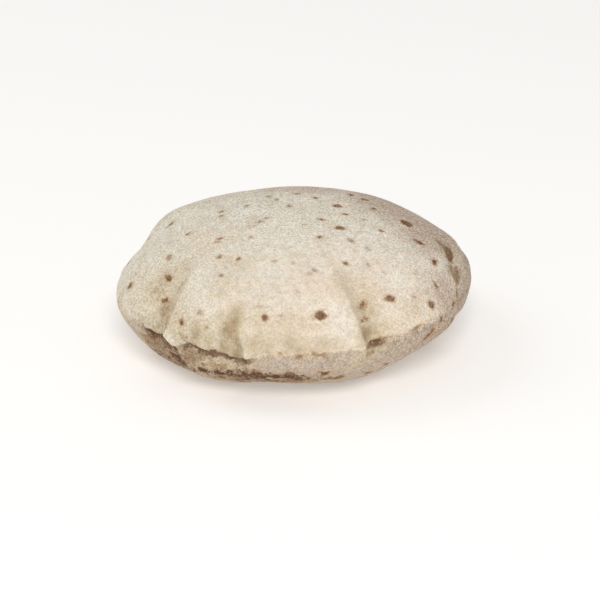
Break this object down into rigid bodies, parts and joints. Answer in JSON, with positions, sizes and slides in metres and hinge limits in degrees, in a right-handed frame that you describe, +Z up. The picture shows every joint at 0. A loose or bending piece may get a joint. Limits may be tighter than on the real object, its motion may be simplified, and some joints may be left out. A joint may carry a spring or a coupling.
{
  "type": "chapati flatbread",
  "caption": "Round wholemeal flatbread puffed up like a pillow, with a creased edge seam, pleats and small toasted spots.",
  "frame": {"origin": "on the surface the bread rests on, under the centre of its bounding box", "axes": "+Z up through the puffed crown; +X to the right along the longest side; -Y towards the front panel between the two large pleats"},
  "size_m": [0.15, 0.14, 0.0575],
  "materials": {
    "baked_dough": null
  },
  "bodies": {
    "root": {"chapati": "baked_dough"}
  },
  "joints": []
}
